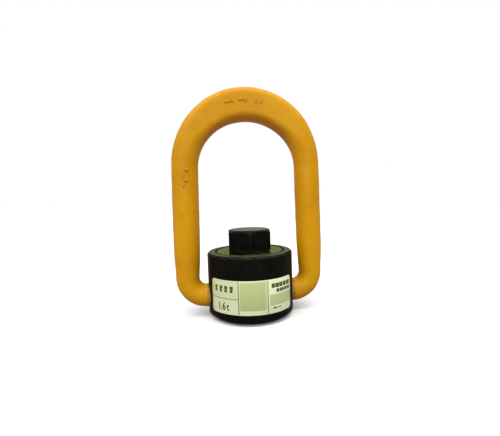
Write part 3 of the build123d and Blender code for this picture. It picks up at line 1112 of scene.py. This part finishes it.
def label_sheet():
    """The film itself, wrapped round the housing."""
    sizes = bpy.context.scene.hoist_label
    sheet = flat_sheet(
        "label_film",
        sizes.start * HOUSING_R,
        sizes.end * HOUSING_R,
        LABEL_LOW.z,
        LABEL_HIGH.z,
        sizes.corner,
        LABEL_STRIPS,
    )
    applied(sheet, "SOLIDIFY", thickness=FILM_THICKNESS, offset=1)
    bevelled(sheet, 0.04 * MM, 2, 60)
    wrapped(sheet, HOUSING_R + FILM_LIFT)
    cleaned(sheet)
    smoothed(sheet, 40)
    return sheet


def printed(name, sheets):
    """Flat shapes made one thin layer of ink on the film."""
    layer = joined(sheets, name)
    applied(layer, "SOLIDIFY", thickness=INK_THICKNESS, offset=1)
    wrapped(layer, HOUSING_R + FILM_LIFT + FILM_THICKNESS - INK_SINK)
    cleaned(layer)
    smoothed(layer, 40)
    return layer


def ink_block(start, end, foot, head, corner=0.18):
    """One printed block, in degrees round and millimetres up from the label's foot."""
    return flat_sheet(
        "block",
        math.radians(start) * HOUSING_R,
        math.radians(end) * HOUSING_R,
        LABEL_LOW.z + foot * MM,
        LABEL_LOW.z + head * MM,
        corner * MM,
        max(2, round((end - start) / 2)),
    )


def rating_text():
    """The working load limit, as flat numerals."""
    sizes = bpy.context.scene.hoist_label
    nothing_selected()
    bpy.ops.object.text_add(location=(RATING_TURN * HOUSING_R, LABEL_LOW.z + RATING_FOOT, 0))
    text = bpy.context.object
    text.data.body = sizes.rating
    text.data.size = RATING_HEIGHT
    text.data.offset = RATING_BOLDER
    text.data.space_word = RATING_WORD_GAP
    text.data.resolution_u = 6
    text.scale = (RATING_NARROWING, 1, 1)
    bpy.ops.object.convert(target="MESH")
    numerals = named("numerals")
    edit(numerals)
    bpy.ops.mesh.remove_doubles(threshold=0.001 * MM)
    bpy.ops.object.mode_set(mode="OBJECT")
    return numerals


def dark_print():
    """The dark ink: four pairs of blocks above the rating, the rating, and a short note."""
    sheets = [rating_text()]
    for middle in WORD_MIDDLES:
        sheets.append(ink_block(middle - 2.2, middle + 2.2, 13.65, 15.3, 0.1))
        sheets.append(ink_block(middle - 2.2, middle + 1.6, 11.9, 13.5, 0.1))
    sheets.append(ink_block(21.0, 26.5, 2.4, 3.2, 0.1))
    sheets.append(ink_block(28.0, 33.5, 2.6, 3.0, 0.1))
    return printed("label_print", sheets)


def green_print():
    """The green ink: two rows of plain bars in the last field."""
    sheets = []
    for bars, foot, head in ((UPPER_BARS, 13.7, 16.1), (LOWER_BARS, 11.1, 12.9)):
        sheets += [ink_block(start, end, foot, head) for start, end in bars]
    return printed("label_print_green", sheets)


class HOIST_OT_label(bpy.types.Operator):
    """Wrap the rating label round the housing and print it"""

    bl_idname = "hoist.label"
    bl_label = "Label"

    def execute(self, context):
        sizes = context.scene.hoist_label
        placed(label_sheet(), "housing", "label_film", label_film(), "rating_label")
        placed(dark_print(), "housing", "label_film", label_ink("dark_ink", tuple(sizes.ink)))
        placed(green_print(), "housing", "label_film", label_ink("green_ink", tuple(sizes.ink_green)))
        return {"FINISHED"}


# ---- frame nodes that keep their shape ----


class HOIST_OT_metal(bpy.types.Operator):
    """Finish the bolt, the bush, the bearing, the rings and the seal"""

    bl_idname = "hoist.metal"
    bl_label = "Bolt, bush and bearing"

    def execute(self, context):
        tones = context.scene.hoist_bolt
        steel = plain_metal("bearing_steel", tuple(tones.race), 0.10, 0.20, (0.38, 0.36, 0.30), 2600.0)
        brass = plain_metal("cage_brass", tuple(tones.brass), 0.26, 0.40, (0.30, 0.18, 0.06))
        spring = plain_metal("spring_steel", tuple(tones.spring), 0.34, 0.48, (0.05, 0.04, 0.03))
        olive = olive_passivate()
        finishes = {
            "hex_bolt": black_oxide(),
            "flanged_bush": olive,
            "base_washer": olive,
            "upper_race": steel,
            "lower_race": steel,
            "ball_cage": brass,
            "bolt_retaining_ring": spring,
            "retaining_circlip": spring,
            "dust_seal": seal_rubber(),
        }
        finishes.update({name: steel for name in BALLS})
        for name, finish in finishes.items():
            dressed(frame["nodes"][name], finish)
        return {"FINISHED"}


# ---- floor, lamps and camera ----


def hung(name, data):
    """A lamp or the camera, put in the scene."""
    holder = bpy.data.objects.new(name, data)
    bpy.context.collection.objects.link(holder)
    return holder


def sun(name, strength, turn, height, softness):
    """A distant lamp, by its turn from the front, its height and the width of its disc."""
    data = bpy.data.lights.new(name, "SUN")
    data.energy = strength
    data.angle = softness
    holder = hung(name, data)
    reach = math.cos(height)
    place = Vector((math.sin(turn) * reach, -math.cos(turn) * reach, math.sin(height)))
    holder.location = place
    holder.rotation_euler = place.to_track_quat("Z", "Y").to_euler()


def strip_lamp(sizes):
    """A long narrow lamp that hangs over the piece and shines down."""
    data = bpy.data.lights.new("strip", "AREA")
    data.shape = "RECTANGLE"
    data.size = sizes.strip_long
    data.size_y = sizes.strip_wide
    data.energy = sizes.strip
    hung("strip", data).location = sizes.strip_place


def sky(sizes):
    """Even studio light, strongest from above, that the camera sees as plain white."""
    world = bpy.data.worlds.new("studio")
    world.use_nodes = True
    desk = Desk(world.node_tree)
    back = world.node_tree.nodes["Background"]
    seen = desk.add("ShaderNodeLightPath", {}).outputs["Is Camera Ray"]
    up = desk.parts(desk.place_in_sky())[2]
    light = desk.fit(up, 0.10, 0.85, sizes.side_light, sizes.top_light)
    strength = desk.larger(light, seen)
    desk.feed(back.inputs["Strength"], strength)
    back.inputs["Color"].default_value = (1, 1, 1, 1)
    bpy.context.scene.world = world


def camera(sizes):
    """The camera, from its place, the way it looks and its lean."""
    data = bpy.data.cameras.new("camera")
    data.lens = sizes.lens
    data.sensor_width = 36
    data.clip_start = 0.001
    holder = hung("camera", data)
    yaw, pitch, roll = sizes.yaw, sizes.pitch, sizes.roll
    reach = math.cos(pitch)
    ahead = Vector((math.sin(yaw) * reach, math.cos(yaw) * reach, -math.sin(pitch)))
    level = Vector((math.cos(yaw), -math.sin(yaw), 0))
    upright = level.cross(ahead)
    right = math.cos(roll) * level + math.sin(roll) * upright
    above = -math.sin(roll) * level + math.cos(roll) * upright
    turn = Matrix((right, above, -ahead)).transposed().to_4x4()
    holder.matrix_world = Matrix.Translation(sizes.camera_place) @ turn
    bpy.context.scene.camera = holder


class HOIST_OT_stage(bpy.types.Operator):
    """Lay the floor and set the lamps and the camera"""

    bl_idname = "hoist.stage"
    bl_label = "Stage"

    def execute(self, context):
        sizes = context.scene.hoist_stage
        nothing_selected()
        bpy.ops.mesh.primitive_circle_add(vertices=96, radius=6, fill_type="NGON", location=(0, 0, 0))
        floor = named("floor")
        dressed(floor, floor_paint())
        sky(sizes)
        context.scene.view_settings.view_transform = "Standard"
        strip_lamp(sizes)
        sun("fill", sizes.fill, sizes.fill_turn, sizes.fill_height, sizes.fill_width)
        camera(sizes)
        return {"FINISHED"}


# ---- the panel ----


class HOIST_PT_panel(bpy.types.Panel):
    """Sizes, colours and the steps that build the hoist ring"""

    bl_idname = "HOIST_PT_panel"
    bl_label = "Swivel hoist ring"
    bl_space_type = "VIEW_3D"
    bl_region_type = "UI"
    bl_category = "Hoist ring"

    def draw(self, context):
        for step in STEPS:
            self.layout.operator(step.bl_idname)
        for name, settings in SETTINGS.items():
            box = self.layout.box()
            box.label(text=settings.__doc__)
            for key in settings.__annotations__:
                box.prop(getattr(context.scene, name), key)


STEPS = (HOIST_OT_link, HOIST_OT_housing, HOIST_OT_label, HOIST_OT_metal, HOIST_OT_stage)
CLASSES = (*SETTINGS.values(), *STEPS, HOIST_PT_panel)


def register():
    """Registers the classes and hangs the settings on the scene."""
    for cls in CLASSES:
        bpy.utils.register_class(cls)
    for name, settings in SETTINGS.items():
        setattr(bpy.types.Scene, name, PointerProperty(type=settings))


def unregister():
    """Takes the settings and the classes away again."""
    for name in SETTINGS:
        delattr(bpy.types.Scene, name)
    for cls in reversed(CLASSES):
        bpy.utils.unregister_class(cls)


def main():
    """Builds everything in order."""
    register()
    bpy.ops.hoist.link()
    bpy.ops.hoist.housing()
    bpy.ops.hoist.label()
    bpy.ops.hoist.metal()
    bpy.ops.hoist.stage()


if __name__ == "__main__":
    main()
